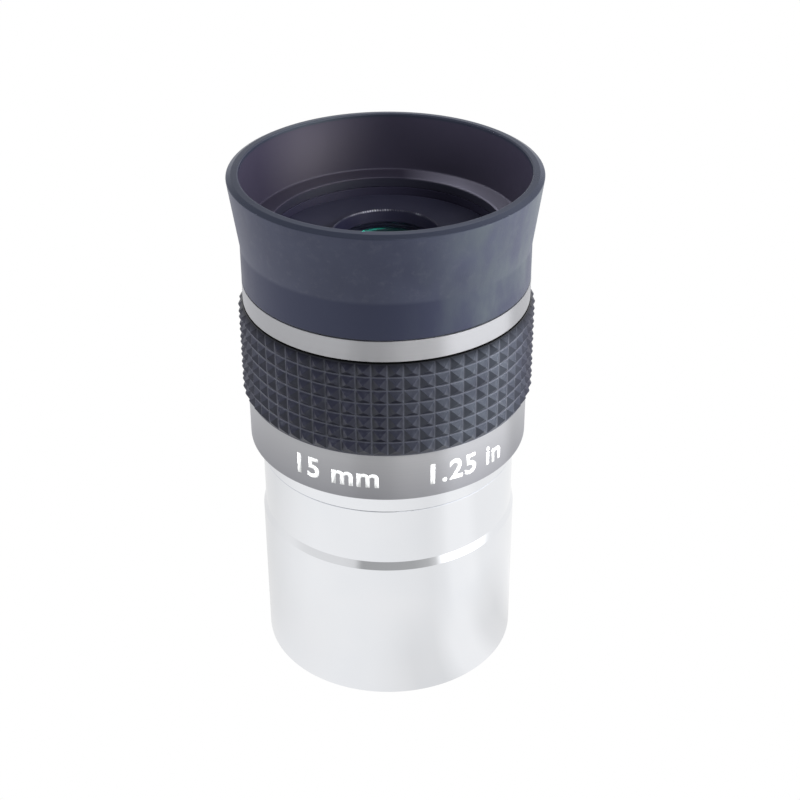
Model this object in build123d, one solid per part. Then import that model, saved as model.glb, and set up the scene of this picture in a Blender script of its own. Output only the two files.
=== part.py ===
"""Telescope eyepiece for 1.25 inch focusers, built as an assembly of turned and moulded pieces.

All sizes are in millimetres. Z is the optical axis and points towards the eye. The origin is the
centre of the barrel's open end, which is also the face the eyepiece stands on.
"""

import os
from math import pi, sqrt

from build123d import *

# Running clearance between pieces that turn or slide on each other, and the fit of fixed pieces
RUNNING_GAP = 0.05
FIT_GAP = 0.02

# Nosepiece barrel: the part that slides into the focuser
BARREL_RADIUS = 31.75 / 2
BARREL_LENGTH = 27.57
BARREL_BORE_RADIUS = 14.4
BARREL_EDGE_CHAMFER = 0.3
UNDERCUT_RADIUS = 15.56
UNDERCUT_TAPER_START = 19.25
UNDERCUT_TAPER_END = 20.28

# Filter thread inside the open end of the barrel
FILTER_CREST_RADIUS = 13.95
FILTER_ROOT_RADIUS = 14.25
FILTER_THREAD_START = 0.5
FILTER_THREAD_TURNS = 8
FILTER_PITCH = 0.6
FILTER_LEAD_RADIUS = 14.6

# Collar that joins the barrel to the body, with a threaded spigot at each end
COLLAR_RADIUS = 15.6
COLLAR_BOTTOM = 27.67
COLLAR_TOP = 30.18
COLLAR_BORE_RADIUS = 13.6
SPIGOT_RADIUS = 14.6
SPIGOT_ROOT_RADIUS = 14.35
SPIGOT_PITCH = 0.75
SPIGOT_TURNS = 4
LOWER_SPIGOT_BOTTOM = 23.4
UPPER_SPIGOT_TOP = 35.8
COLLAR_EDGE_CHAMFER = 0.08

# Body shell
BODY_BOTTOM = 30.23
LOWER_BAND_RADIUS = 16.93
LOWER_BAND_TOP = 36.37
GRIP_SEAT_RADIUS = 15.95
GRIP_SEAT_TOP = 48.6
RING_SEAT_RADIUS = 15.6
RING_SEAT_TOP = 51.2
CUP_NECK_RADIUS = 15.2
CUP_GROOVE_RADIUS = 14.6
CUP_GROOVE_BOTTOM = 53.0
CUP_GROOVE_TOP = 54.4
BODY_TOP = 56.0
BODY_BORE_RADIUS = 13.0
BODY_THREAD_TOP = 36.2
CELL_SEAT_BOTTOM = 51.6
CELL_SEAT_TOP = 52.95
CELL_SEAT_RADIUS = 9.7
EYE_BORE_RADIUS = 13.58
BAND_CHAMFER = 0.12

# Upper ring, screwed on above the grip
UPPER_RING_RADIUS = 17.0
UPPER_RING_BOTTOM = 48.65
UPPER_RING_TOP = 51.19

# Grip sleeve: rows of small square pyramids
GRIP_BOTTOM = 36.42
GRIP_TOP = 48.55
GRIP_INNER_RADIUS = 15.97
GRIP_TIP_RADIUS = 17.6
GRIP_VALLEY_RADIUS = 17.07
GRIP_COLUMNS = 60
GRIP_ROWS = 7
GRIP_TIP_WIDTH = 0.16
GRIP_BORDER = 0.12

# Rubber eyecup
CUP_BOTTOM = 51.24
CUP_RADIUS = 16.98
CUP_KINK_HEIGHT = 55.8
CUP_RIM_RADIUS = 18.12
CUP_RIM_HEIGHT = 63.96
CUP_TOP = 64.35
CUP_MOUTH_RADIUS = 16.72
CUP_LIP_ROUND = 0.15
CUP_FLOOR_HEIGHT = 57.3
CUP_FLOOR_OUTER_RADIUS = 16.0
CUP_FLOOR_INNER_RADIUS = 13.6
CUP_FLOOR_ROUND = 0.4
CUP_FLANGE_BOTTOM = 56.03
CUP_BEAD_RADIUS = 14.65
CUP_BEAD_BOTTOM = 53.1
CUP_BEAD_TOP = 54.3
SKIRT_BOTTOM = 57.35
RIM_INNER_RADIUS = 17.3
RIM_BOTTOM = 63.3
RIM_GAP = 0.05

# Lens cell
CELL_BOTTOM = 33.0
CELL_RADIUS = 9.6
CELL_FLANGE_RADIUS = 13.5
CELL_FLANGE_BOTTOM = 53.0
CELL_TOP = 55.0
STOP_BORE_RADIUS = 8.45
STOP_BORE_TOP = 39.9
RING_BORE_RADIUS = 7.6
RING_BORE_TOP = 43.0
FIELD_BORE_RADIUS = 7.05
SPACER_SEAT_HEIGHT = 50.5
EYE_LENS_BORE_RADIUS = 6.15
BEZEL_BORE_RADIUS = 6.65
BEZEL_SEAT_HEIGHT = 53.55

# Eye lens bezel
BEZEL_RADIUS = 6.6
BEZEL_APERTURE_RADIUS = 5.64
BEZEL_MOUTH_RADIUS = 6.35
BEZEL_BOTTOM = 53.6
BEZEL_LIP_HEIGHT = 54.96
BEZEL_TOP = 56.25
BEZEL_GROOVE_DEPTH = 0.09
BEZEL_GROOVE_PITCH = 0.25
BEZEL_GROOVES = 4

# Lenses: two cemented doublets with their crown elements facing each other
EYE_LENS_RADIUS = 6.1
FIELD_LENS_RADIUS = 7.0
OUTER_CURVE = 60.0
CEMENT_CURVE = 12.0
INNER_CURVE = 17.0
EYE_FLINT_TOP = 55.2
EYE_CEMENT_TOP = 53.8
EYE_CROWN_BOTTOM = 49.5
FIELD_CROWN_TOP = 49.0
FIELD_CEMENT_BOTTOM = 44.0
FIELD_FLINT_BOTTOM = 42.5
CEMENT_GAP = 0.01

# Lens spacer, retaining ring and field stop
SPACER_BOTTOM = 48.0
SPACER_TOP = 50.48
SPACER_INNER_RADIUS = 5.8
RETAINER_BOTTOM = 41.0
RETAINER_TOP = 42.8
RETAINER_RADIUS = 7.55
RETAINER_INNER_RADIUS = 6.3
SLOT_WIDTH = 1.0
SLOT_DEPTH = 0.8
STOP_BOTTOM = 33.6
STOP_TOP = 34.8
STOP_RADIUS = 8.4
STOP_APERTURE_RADIUS = 6.6
STOP_EDGE_THICKNESS = 0.15


def turned(outline):
    """Revolve a closed outline of (radius, height) points about the optical axis."""
    points = [(radius, 0, height) for radius, height in outline]
    return revolve(make_face(Polyline(*points, close=True)), Axis.Z)


def thread_outline(crest, root, start, pitch, turns):
    """Outline of parallel thread grooves, rising from start, as (radius, height) points."""
    points = []
    for turn in range(turns):
        base = start + turn * pitch
        points.append((crest, base))
        points.append((crest, base + 0.25 * pitch))
        points.append((root, base + 0.55 * pitch))
        points.append((root, base + 0.70 * pitch))
    points.append((crest, start + turns * pitch))
    points.append((crest, start + (turns + 0.25) * pitch))
    return points


def sagitta(curve_radius, radius):
    """Depth of a spherical surface at a distance from its axis."""
    return curve_radius - sqrt(curve_radius**2 - radius**2)


def cap_arc(curve_radius, vertex_height, radius, bulge):
    """Half of a spherical surface's outline, from the axis to the edge. Bulge is 1 up or -1 down."""
    middle = radius / 2
    return ThreePointArc(
        (0, 0, vertex_height),
        (middle, 0, vertex_height - bulge * sagitta(curve_radius, middle)),
        (radius, 0, vertex_height - bulge * sagitta(curve_radius, radius)),
    )


def lens(radius, top, bottom):
    """A lens between two surfaces, each given as (curve radius, vertex height, bulge)."""
    upper = cap_arc(top[0], top[1], radius, top[2])
    lower = cap_arc(bottom[0], bottom[1], radius, bottom[2])
    axis_line = Line(lower @ 0, upper @ 0)
    edge_line = Line(upper @ 1, lower @ 1)
    return revolve(make_face(axis_line + upper + edge_line + lower), Axis.Z)


def make_nosepiece_barrel():
    thread = thread_outline(
        FILTER_CREST_RADIUS, FILTER_ROOT_RADIUS, FILTER_THREAD_START, FILTER_PITCH, FILTER_THREAD_TURNS
    )
    thread_top = thread[-1][1]
    spigot_bore = SPIGOT_RADIUS + RUNNING_GAP
    spigot_seat = LOWER_SPIGOT_BOTTOM - 0.4
    return turned(
        [(FILTER_LEAD_RADIUS, 0)]
        + thread
        + [
            (BARREL_BORE_RADIUS, thread_top),
            (BARREL_BORE_RADIUS, spigot_seat),
            (spigot_bore, spigot_seat),
            (spigot_bore, BARREL_LENGTH),
            (UNDERCUT_RADIUS - COLLAR_EDGE_CHAMFER, BARREL_LENGTH),
            (UNDERCUT_RADIUS, BARREL_LENGTH - COLLAR_EDGE_CHAMFER),
            (UNDERCUT_RADIUS, UNDERCUT_TAPER_END),
            (BARREL_RADIUS, UNDERCUT_TAPER_START),
            (BARREL_RADIUS, BARREL_EDGE_CHAMFER),
            (BARREL_RADIUS - BARREL_EDGE_CHAMFER, 0),
        ]
    )


def make_barrel_collar():
    thread = thread_outline(
        SPIGOT_RADIUS, SPIGOT_ROOT_RADIUS, LOWER_SPIGOT_BOTTOM + 0.3, SPIGOT_PITCH, SPIGOT_TURNS
    )
    return turned(
        [
            (COLLAR_BORE_RADIUS, LOWER_SPIGOT_BOTTOM),
            (COLLAR_BORE_RADIUS, UPPER_SPIGOT_TOP),
            (SPIGOT_RADIUS, UPPER_SPIGOT_TOP),
            (SPIGOT_RADIUS, COLLAR_TOP),
            (COLLAR_RADIUS - COLLAR_EDGE_CHAMFER, COLLAR_TOP),
            (COLLAR_RADIUS, COLLAR_TOP - COLLAR_EDGE_CHAMFER),
            (COLLAR_RADIUS, COLLAR_BOTTOM + COLLAR_EDGE_CHAMFER),
            (COLLAR_RADIUS - COLLAR_EDGE_CHAMFER, COLLAR_BOTTOM),
            (SPIGOT_ROOT_RADIUS, COLLAR_BOTTOM),
        ]
        + thread[::-1]
        + [(SPIGOT_ROOT_RADIUS, LOWER_SPIGOT_BOTTOM)]
    )


def make_body_shell():
    thread_bore = SPIGOT_RADIUS + RUNNING_GAP
    return turned(
        [
            (thread_bore, BODY_BOTTOM),
            (thread_bore, BODY_THREAD_TOP),
            (BODY_BORE_RADIUS, BODY_THREAD_TOP),
            (BODY_BORE_RADIUS, CELL_SEAT_BOTTOM),
            (CELL_SEAT_RADIUS, CELL_SEAT_BOTTOM),
            (CELL_SEAT_RADIUS, CELL_SEAT_TOP),
            (EYE_BORE_RADIUS, CELL_SEAT_TOP),
            (EYE_BORE_RADIUS, BODY_TOP),
            (CUP_NECK_RADIUS - BAND_CHAMFER, BODY_TOP),
            (CUP_NECK_RADIUS, BODY_TOP - BAND_CHAMFER),
            (CUP_NECK_RADIUS, CUP_GROOVE_TOP),
            (CUP_GROOVE_RADIUS, CUP_GROOVE_TOP),
            (CUP_GROOVE_RADIUS, CUP_GROOVE_BOTTOM),
            (CUP_NECK_RADIUS, CUP_GROOVE_BOTTOM),
            (CUP_NECK_RADIUS, RING_SEAT_TOP),
            (RING_SEAT_RADIUS, RING_SEAT_TOP),
            (RING_SEAT_RADIUS, GRIP_SEAT_TOP),
            (GRIP_SEAT_RADIUS, GRIP_SEAT_TOP),
            (GRIP_SEAT_RADIUS, LOWER_BAND_TOP),
            (LOWER_BAND_RADIUS - BAND_CHAMFER, LOWER_BAND_TOP),
            (LOWER_BAND_RADIUS, LOWER_BAND_TOP - BAND_CHAMFER),
            (LOWER_BAND_RADIUS, BODY_BOTTOM + BAND_CHAMFER),
            (LOWER_BAND_RADIUS - BAND_CHAMFER, BODY_BOTTOM),
        ]
    )


def make_upper_ring():
    inner = RING_SEAT_RADIUS + FIT_GAP
    return turned(
        [
            (inner, UPPER_RING_BOTTOM),
            (inner, UPPER_RING_TOP),
            (UPPER_RING_RADIUS - BAND_CHAMFER, UPPER_RING_TOP),
            (UPPER_RING_RADIUS, UPPER_RING_TOP - BAND_CHAMFER),
            (UPPER_RING_RADIUS, UPPER_RING_BOTTOM + BAND_CHAMFER),
            (UPPER_RING_RADIUS - BAND_CHAMFER, UPPER_RING_BOTTOM),
        ]
    )


def make_grip_sleeve():
    """Rubber sleeve. Rings of V-grooves cross straight V-grooves and leave square pyramids."""
    row_height = (GRIP_TOP - GRIP_BOTTOM - 2 * GRIP_BORDER) / GRIP_ROWS
    outline = [(GRIP_INNER_RADIUS, GRIP_TOP), (GRIP_INNER_RADIUS, GRIP_BOTTOM)]
    outline.append((GRIP_VALLEY_RADIUS, GRIP_BOTTOM))
    for row in range(GRIP_ROWS):
        valley = GRIP_BOTTOM + GRIP_BORDER + row * row_height
        tip = valley + row_height / 2
        outline.append((GRIP_VALLEY_RADIUS, valley))
        outline.append((GRIP_TIP_RADIUS, tip - GRIP_TIP_WIDTH / 2))
        outline.append((GRIP_TIP_RADIUS, tip + GRIP_TIP_WIDTH / 2))
    outline.append((GRIP_VALLEY_RADIUS, GRIP_TOP - GRIP_BORDER))
    outline.append((GRIP_VALLEY_RADIUS, GRIP_TOP))
    sleeve = turned(outline)

    column_width = 2 * pi * GRIP_TIP_RADIUS / GRIP_COLUMNS
    half_mouth = (column_width - GRIP_TIP_WIDTH) / 2
    slope = half_mouth / (GRIP_TIP_RADIUS - GRIP_VALLEY_RADIUS)
    overshoot = 0.5
    half_top = half_mouth + slope * overshoot
    groove_outline = Polyline(
        (GRIP_VALLEY_RADIUS, 0),
        (GRIP_TIP_RADIUS + overshoot, -half_top),
        (GRIP_TIP_RADIUS + overshoot, half_top),
        close=True,
    )
    groove = Pos(0, 0, GRIP_BOTTOM - 1) * extrude(
        make_face(groove_outline), amount=GRIP_TOP - GRIP_BOTTOM + 2, dir=(0, 0, 1)
    )
    grooves = [
        Rot(0, 0, (column + 0.5) * 360 / GRIP_COLUMNS) * groove for column in range(GRIP_COLUMNS)
    ]
    return sleeve - grooves


def cup_outer_radius(height):
    """Outside radius of the flared part of the eyecup."""
    share = (height - CUP_KINK_HEIGHT) / (CUP_RIM_HEIGHT - CUP_KINK_HEIGHT)
    return CUP_RADIUS + share * (CUP_RIM_RADIUS - CUP_RADIUS)


def cup_inner_radius(height):
    """Inside radius of the eyecup, from its floor to its mouth."""
    share = (height - CUP_FLOOR_HEIGHT) / (CUP_TOP - CUP_FLOOR_HEIGHT)
    return CUP_FLOOR_OUTER_RADIUS + share * (CUP_MOUTH_RADIUS - CUP_FLOOR_OUTER_RADIUS)


def make_eyecup_base():
    """Straight part of the eyecup, with the bead that holds it and the flange over the body."""
    inner = CUP_NECK_RADIUS + FIT_GAP
    return turned(
        [
            (inner, CUP_BOTTOM),
            (inner, CUP_BEAD_BOTTOM),
            (CUP_BEAD_RADIUS, CUP_BEAD_BOTTOM),
            (CUP_BEAD_RADIUS, CUP_BEAD_TOP),
            (inner, CUP_BEAD_TOP),
            (inner, CUP_FLANGE_BOTTOM),
            (CUP_FLOOR_INNER_RADIUS, CUP_FLANGE_BOTTOM),
            (CUP_FLOOR_INNER_RADIUS, CUP_FLOOR_HEIGHT - CUP_FLOOR_ROUND),
            (CUP_FLOOR_INNER_RADIUS + 0.3 * CUP_FLOOR_ROUND, CUP_FLOOR_HEIGHT - 0.3 * CUP_FLOOR_ROUND),
            (CUP_FLOOR_INNER_RADIUS + CUP_FLOOR_ROUND, CUP_FLOOR_HEIGHT),
            (cup_outer_radius(CUP_FLOOR_HEIGHT), CUP_FLOOR_HEIGHT),
            (CUP_RADIUS, CUP_KINK_HEIGHT),
            (CUP_RADIUS, CUP_BOTTOM),
        ]
    )


def make_eyecup_skirt():
    """Flared wall that folds back when the eyecup is turned down, up to the inner half of the lip."""
    step_radius = RIM_INNER_RADIUS - RIM_GAP
    step_height = RIM_BOTTOM - RIM_GAP
    return turned(
        [
            (cup_inner_radius(SKIRT_BOTTOM), SKIRT_BOTTOM),
            (cup_inner_radius(CUP_TOP - CUP_LIP_ROUND), CUP_TOP - CUP_LIP_ROUND),
            (CUP_MOUTH_RADIUS + CUP_LIP_ROUND, CUP_TOP),
            (step_radius, CUP_TOP),
            (step_radius, step_height),
            (cup_outer_radius(step_height), step_height),
            (cup_outer_radius(SKIRT_BOTTOM), SKIRT_BOTTOM),
        ]
    )


def make_eyecup_rim():
    """Outer bead of the lip. Its top slopes down outward, and it keeps its shape when the cup is folded."""
    return turned(
        [
            (RIM_INNER_RADIUS, RIM_BOTTOM),
            (RIM_INNER_RADIUS, CUP_TOP - RIM_GAP),
            (CUP_RIM_RADIUS - 0.12, CUP_RIM_HEIGHT + 0.12),
            (CUP_RIM_RADIUS, CUP_RIM_HEIGHT),
            (cup_outer_radius(RIM_BOTTOM), RIM_BOTTOM),
        ]
    )


def make_lens_cell():
    return turned(
        [
            (STOP_BORE_RADIUS, CELL_BOTTOM),
            (STOP_BORE_RADIUS, STOP_BORE_TOP),
            (RING_BORE_RADIUS, STOP_BORE_TOP),
            (RING_BORE_RADIUS, RING_BORE_TOP),
            (FIELD_BORE_RADIUS, RING_BORE_TOP),
            (FIELD_BORE_RADIUS, SPACER_SEAT_HEIGHT),
            (EYE_LENS_BORE_RADIUS, SPACER_SEAT_HEIGHT),
            (EYE_LENS_BORE_RADIUS, BEZEL_SEAT_HEIGHT),
            (BEZEL_BORE_RADIUS, BEZEL_SEAT_HEIGHT),
            (BEZEL_BORE_RADIUS, CELL_TOP),
            (CELL_FLANGE_RADIUS, CELL_TOP),
            (CELL_FLANGE_RADIUS, CELL_FLANGE_BOTTOM),
            (CELL_RADIUS, CELL_FLANGE_BOTTOM),
            (CELL_RADIUS, CELL_BOTTOM),
        ]
    )


def make_eye_bezel():
    grooves = []
    for groove in range(BEZEL_GROOVES):
        top = BEZEL_TOP - 0.15 - groove * BEZEL_GROOVE_PITCH
        grooves.append((BEZEL_RADIUS, top))
        grooves.append((BEZEL_RADIUS - BEZEL_GROOVE_DEPTH, top - 0.4 * BEZEL_GROOVE_PITCH))
        grooves.append((BEZEL_RADIUS, top - 0.8 * BEZEL_GROOVE_PITCH))
    return turned(
        [
            (EYE_LENS_BORE_RADIUS, BEZEL_BOTTOM),
            (EYE_LENS_BORE_RADIUS, BEZEL_LIP_HEIGHT),
            (BEZEL_APERTURE_RADIUS, BEZEL_LIP_HEIGHT),
            (BEZEL_MOUTH_RADIUS, BEZEL_TOP),
            (BEZEL_RADIUS - 0.1, BEZEL_TOP),
        ]
        + grooves
        + [(BEZEL_RADIUS, BEZEL_BOTTOM)]
    )


def make_eye_flint():
    return lens(
        EYE_LENS_RADIUS,
        (OUTER_CURVE, EYE_FLINT_TOP, 1),
        (CEMENT_CURVE, EYE_CEMENT_TOP + CEMENT_GAP, 1),
    )


def make_eye_crown():
    return lens(
        EYE_LENS_RADIUS,
        (CEMENT_CURVE, EYE_CEMENT_TOP, 1),
        (INNER_CURVE, EYE_CROWN_BOTTOM, -1),
    )


def make_field_crown():
    return lens(
        FIELD_LENS_RADIUS,
        (INNER_CURVE, FIELD_CROWN_TOP, 1),
        (CEMENT_CURVE, FIELD_CEMENT_BOTTOM, -1),
    )


def make_field_flint():
    return lens(
        FIELD_LENS_RADIUS,
        (CEMENT_CURVE, FIELD_CEMENT_BOTTOM - CEMENT_GAP, -1),
        (OUTER_CURVE, FIELD_FLINT_BOTTOM, -1),
    )


def make_lens_spacer():
    """Ring between the two doublets. The glass rests on its inner edges."""
    outer = FIELD_BORE_RADIUS - FIT_GAP
    return turned(
        [
            (SPACER_INNER_RADIUS, SPACER_BOTTOM),
            (SPACER_INNER_RADIUS, SPACER_TOP),
            (outer, SPACER_TOP),
            (outer, SPACER_BOTTOM),
        ]
    )


def make_lens_retainer():
    """Threaded ring under the field lens, with two slots for a spanner."""
    ring = turned(
        [
            (RETAINER_INNER_RADIUS, RETAINER_BOTTOM),
            (RETAINER_INNER_RADIUS, RETAINER_TOP),
            (RETAINER_RADIUS, RETAINER_TOP),
            (RETAINER_RADIUS, RETAINER_BOTTOM),
        ]
    )
    slot = Pos(0, 0, RETAINER_BOTTOM) * Box(3 * RETAINER_RADIUS, SLOT_WIDTH, 2 * SLOT_DEPTH)
    return ring - slot


def make_field_stop():
    """Ring with a thin bevelled edge that bounds the field of view."""
    return turned(
        [
            (STOP_APERTURE_RADIUS, STOP_TOP - STOP_EDGE_THICKNESS),
            (STOP_APERTURE_RADIUS, STOP_TOP),
            (STOP_RADIUS, STOP_TOP),
            (STOP_RADIUS, STOP_BOTTOM),
            (STOP_RADIUS - 0.8, STOP_BOTTOM),
        ]
    )


PIECES = {
    "nosepiece_barrel": make_nosepiece_barrel,
    "barrel_collar": make_barrel_collar,
    "body_shell": make_body_shell,
    "upper_ring": make_upper_ring,
    "grip_sleeve": make_grip_sleeve,
    "eyecup_base": make_eyecup_base,
    "eyecup_skirt": make_eyecup_skirt,
    "eyecup_rim": make_eyecup_rim,
    "lens_cell": make_lens_cell,
    "eye_bezel": make_eye_bezel,
    "eye_flint": make_eye_flint,
    "eye_crown": make_eye_crown,
    "lens_spacer": make_lens_spacer,
    "field_crown": make_field_crown,
    "field_flint": make_field_flint,
    "lens_retainer": make_lens_retainer,
    "field_stop": make_field_stop,
}

os.makedirs("parts", exist_ok=True)
for name, make_piece in PIECES.items():
    piece = make_piece()
    export_step(piece, f"parts/{name}.step")
    print(name, "volume", round(piece.volume, 2), "valid", piece.is_valid)
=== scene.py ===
"""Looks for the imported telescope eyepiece: studio, camera, fine meshes and materials.

Outlines are (radius, height) points in millimetres, in the frame of the CAD model: Z is the
optical axis and the origin is the centre of the barrel's open end.
"""

from math import cos, hypot, pi, radians, sin, sqrt, tan

import bmesh
import bpy
from mathutils import Matrix, Vector


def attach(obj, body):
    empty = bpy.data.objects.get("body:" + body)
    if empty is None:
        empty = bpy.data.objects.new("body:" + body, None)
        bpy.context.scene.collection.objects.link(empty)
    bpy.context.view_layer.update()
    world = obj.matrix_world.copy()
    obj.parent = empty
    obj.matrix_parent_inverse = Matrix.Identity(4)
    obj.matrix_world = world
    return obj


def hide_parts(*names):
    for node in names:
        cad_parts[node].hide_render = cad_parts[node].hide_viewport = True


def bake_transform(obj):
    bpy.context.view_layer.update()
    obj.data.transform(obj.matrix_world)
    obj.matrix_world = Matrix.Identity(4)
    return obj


MM = 0.001
SEGMENTS = 192

# Camera, in metres and degrees
CAMERA_PLACE = (0.00002, -0.16828, 0.1360)
CAMERA_TARGET = (0.00153, 0.0, 0.03346)
CAMERA_LENS = 71.83
CAMERA_ROLL = 0.272

# Lights, in metres, watts and degrees. Softboxes are (name, place, size, power)
SOFTBOXES = (
    ("right_box", (0.24, -0.20, 0.26), (0.12, 0.16), 1.8),
    ("side_box", (0.34, 0.02, 0.14), (0.10, 0.16), 3.0),
    ("left_box", (-0.34, 0.02, 0.14), (0.10, 0.16), 2.4),
)
SOFTBOX_TARGET = (0.0, 0.0, 0.05)
LENS_STRIP_PLACE = (0.100, -0.170, 0.283)
LENS_STRIP_TARGET = (0.0, 0.0, 0.055)
LENS_STRIP_SIZE = (0.17, 0.12)
LENS_STRIP_POWER = 0.22
WALL_SPOT_PLACE = (0.11, -0.09, 0.125)
WALL_SPOT_TARGET = (-0.0094, 0.0134, 0.0612)
WALL_SPOT_ANGLE = 4.4
WALL_SPOT_POWER = 4.8
WALL_SPOT_COLOUR = (0.95, 1.0, 0.62)
WALL_SPOT_RADIUS = 0.004

# Reflected surroundings, as (azimuth in degrees, brightness). The camera stands at azimuth -90.
ROOM_PEAK = 2.0
LOW_TINT = (0.94, 0.97, 1.06)
HIGH_TINT = (0.96, 0.98, 1.05)
LOW_ROOM = (
    (-180, 0.80), (-128, 0.78), (-118, 0.74), (-112, 0.40), (-70, 0.42), (-58, 0.50), (-52, 0.68),
    (-42, 1.90), (9, 1.90), (17, 0.95), (90, 0.90), (180, 0.80),
)
HIGH_ROOM = (
    (-180, 0.50), (-125, 0.54), (-90, 0.58), (-60, 0.62), (-46, 0.68), (-38, 1.40),
    (-4, 1.30), (2, 0.62), (40, 0.60), (60, 0.42), (130, 0.36), (155, 0.55), (180, 0.50),
)
TOP_ROOM = ((-180, 0.24), (30, 0.24), (60, 1.75), (88, 1.60), (104, 1.05), (135, 0.24), (180, 0.24))
FAR_TABLE = (
    (-180, 0.87), (-169, 0.91), (-150, 0.95), (-105, 0.93), (-90, 0.91), (-75, 0.89), (-60, 0.86),
    (-50, 0.90), (-42, 0.99), (-24, 1.00), (-14, 0.94), (60, 0.94), (140, 0.80), (160, 0.80), (180, 0.87),
)
NEAR_TABLE = (
    (-180, 0.82), (-150, 0.90), (-120, 0.94), (-100, 0.92), (-90, 0.88), (-76, 0.80), (-62, 0.81),
    (-50, 0.97), (-36, 0.97), (-24, 0.84), (-8, 0.80), (8, 0.90), (22, 0.97), (60, 0.90),
    (150, 0.80), (180, 0.82),
)
OVERHEAD = (0.24, 0.24, 0.26)

# Where one part of the room fades into the next, as the upward share of a direction
LOW_TO_HIGH = (0.18, 0.38)
HIGH_TO_TOP = (0.50, 0.68)
TOP_TO_OVERHEAD = (0.86, 0.95)

# Table: half its width and its drop below the barrel in metres, then radii in millimetres
TABLE_HALF_WIDTH = 1.5
TABLE_DROP = 0.0001
TABLE_NEAR_TO_FAR = (22, 34)
TABLE_TO_ROOM = (95, 125)
TABLE_UNLIT_RADIUS = 15.2

# Nosepiece barrel and its collar
BARREL_RADIUS = 15.875
BARREL_TOP = 27.57
BARREL_BORE = 14.4
BARREL_EDGE = 0.3
BARREL_SOCKET = 14.65
UNDERCUT_RADIUS = 15.56
TAPER_START = 19.25
TAPER_END = 20.28
TAPER_EDGE = 0.12
FILTER_LEAD = 14.6
FILTER_CREST = 13.95
FILTER_ROOT = 14.25
FILTER_START = 0.5
FILTER_PITCH = 0.6
FILTER_TURNS = 8
SPIGOT_RADIUS = 14.6
SPIGOT_ROOT = 14.35
SPIGOT_BOTTOM = 23.4
SPIGOT_TOP = 35.8
SPIGOT_PITCH = 0.75
SPIGOT_TURNS = 4
SPIGOT_LEAD = 0.3
SPIGOT_CLEARANCE = 0.4
COLLAR_RADIUS = 15.6
COLLAR_BOTTOM = 27.67
COLLAR_TOP = 30.18
COLLAR_BORE = 13.6
SEAM_DEPTH = 0.12
SEAM_FLOOR = 27.585

# Body shell and upper ring
BODY_BOTTOM = 30.23
LOWER_BAND_RADIUS = 16.93
LOWER_BAND_TOP = 36.37
GRIP_SEAT_RADIUS = 15.95
GRIP_SEAT_TOP = 48.6
RING_SEAT_RADIUS = 15.6
RING_SEAT_TOP = 51.2
NECK_RADIUS = 15.2
BODY_TOP = 56.0
BODY_BORE = 13.0
BODY_THREAD_RADIUS = 14.65
BODY_THREAD_TOP = 36.2
CELL_SEAT_BOTTOM = 51.6
CELL_SEAT_TOP = 52.95
CELL_SEAT_RADIUS = 9.7
EYE_BORE = 13.58
UPPER_RING_RADIUS = 17.0
UPPER_RING_BOTTOM = 48.65
UPPER_RING_TOP = 51.19
RING_FIT = 0.02

# Grip sleeve
GRIP_BOTTOM = 36.42
GRIP_TOP = 48.55
GRIP_INNER = 15.97
GRIP_TIP = 17.6
GRIP_VALLEY = 17.07
GRIP_BORDER = 0.12
GRIP_EDGE = 0.04
GRIP_SOFTENING = 0.05
GRIP_COLUMNS = 60
GRIP_ROWS = 7

# Eyecup
CUP_BOTTOM = 51.24
CUP_RADIUS = 16.98
CUP_KINK = 55.8
CUP_RIM_RADIUS = 18.12
CUP_RIM_HEIGHT = 63.96
CUP_TOP = 64.35
CUP_MOUTH = 16.72
CUP_CREST = 17.52
CUP_CREST_HEIGHT = 64.28
CUP_FLOOR = 57.3
CUP_FLOOR_OUTER = 16.0
CUP_FLOOR_INNER = 13.6
CUP_FLANGE_BOTTOM = 56.03
CUP_NECK = 15.22
CUP_MESH_STEP = 0.3

# Lens cell and bezel
CELL_BOTTOM = 33.0
CELL_RADIUS = 9.6
CELL_FLANGE_RADIUS = 13.5
CELL_FLANGE_BOTTOM = 53.0
CELL_TOP = 55.0
STOP_BORE = 8.45
STOP_BORE_TOP = 39.9
RETAINER_BORE = 7.6
RETAINER_BORE_TOP = 43.0
FIELD_BORE = 7.05
SPACER_SEAT = 50.5
EYE_LENS_BORE = 6.15
BEZEL_BORE = 6.65
BEZEL_SEAT = 53.55
BEZEL_RADIUS = 6.6
BEZEL_APERTURE = 5.64
BEZEL_MOUTH = 6.35
BEZEL_BOTTOM = 53.6
BEZEL_LIP = 54.96
BEZEL_TOP = 56.25
BEZEL_NOTCHES = 132
BEZEL_GROOVES = 4
BEZEL_GROOVE_PITCH = 0.25
BEZEL_GROOVE_DEPTH = 0.09
BEZEL_GROOVE_WIDTH = 0.2
BEZEL_FIRST_GROOVE = 0.15

# Painted glint on the bezel, as bright metal: azimuths in degrees and radii, each as start, full, still
# full, end
GLINT_ARC = (82, 90, 126, 133)
BRIGHTEST_GLINT_ARC = (99, 103, 114, 119)
SMALL_GLINT_ARC = (48, 51, 55, 58)
GLINT_RADII = (6.24, 6.30, 6.42, 6.48)

# Lenses: radii, curves of their surfaces, and where the surfaces meet the optical axis
EYE_LENS_RADIUS = 6.1
FIELD_LENS_RADIUS = 7.0
OUTER_CURVE = 60.0
CEMENT_CURVE = 12.0
INNER_CURVE = 17.0
CEMENT_GAP = 0.01
EYE_LENS_TOP = 55.2
EYE_LENS_CEMENT = 53.8
EYE_LENS_BOTTOM = 49.5
FIELD_LENS_TOP = 49.0
FIELD_LENS_CEMENT = 44.0
FIELD_LENS_BOTTOM = 42.5
LENS_SEGMENTS = 96
FACE_TOLERANCE = 0.02

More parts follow.
